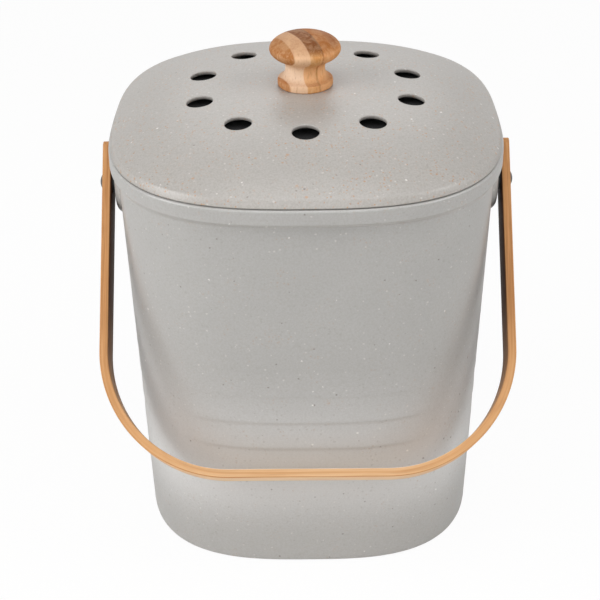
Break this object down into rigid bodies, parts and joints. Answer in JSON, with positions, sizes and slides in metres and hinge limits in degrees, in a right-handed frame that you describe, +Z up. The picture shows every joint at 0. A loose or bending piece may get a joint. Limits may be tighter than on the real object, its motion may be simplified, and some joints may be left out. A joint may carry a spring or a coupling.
{
  "type": "compost caddy",
  "caption": "Kitchen compost caddy: tapered rounded-square bin, domed vented lift-off lid with a turned knob and charcoal filter, and a swinging bail handle.",
  "frame": {"origin": "middle of the base, on the surface the caddy stands on", "axes": "+Z up along the bin; -Y is the front, where the handle hangs; +X to the right, along the pivot line"},
  "size_m": [0.2078, 0.2042, 0.2529],
  "materials": {
    "shell": "satin moulded bamboo-fibre composite, warm grey with fine tan and dark speckles",
    "bamboo": "satin lacquered laminated bamboo",
    "steel": "satin stainless steel",
    "black_plastic": "satin black nylon",
    "charcoal": "matt charcoal-filled felt"
  },
  "bodies": {
    "bin_body": {"bin": "shell", "pivot_bolt_left": "steel", "pivot_bolt_right": "steel", "spacer_left": "black_plastic", "spacer_right": "black_plastic", "inner_washer_left": "steel", "inner_washer_right": "steel", "cap_nut_left": "steel", "cap_nut_right": "steel"},
    "lid_body": {"lid": "shell", "knob": "bamboo", "knob_stud": "steel", "lid_washer": "steel", "lid_nut": "steel", "filter_pad": "charcoal", "filter_tray": "shell", "thumb_nut": "black_plastic"},
    "handle_body": {"handle": "bamboo"}
  },
  "joints": [
    {"name": "handle_swing", "type": "hinge", "parent": "bin_body", "child": "handle_body", "pos_m": [0, 0, 0.175], "axis": [-1, 0, 0], "range_deg": [0, 277.5]},
    {"name": "lid_lift", "type": "slide", "parent": "bin_body", "child": "lid_body", "axis": [0, 0, 1], "range_m": [0, 0.06]}
  ]
}
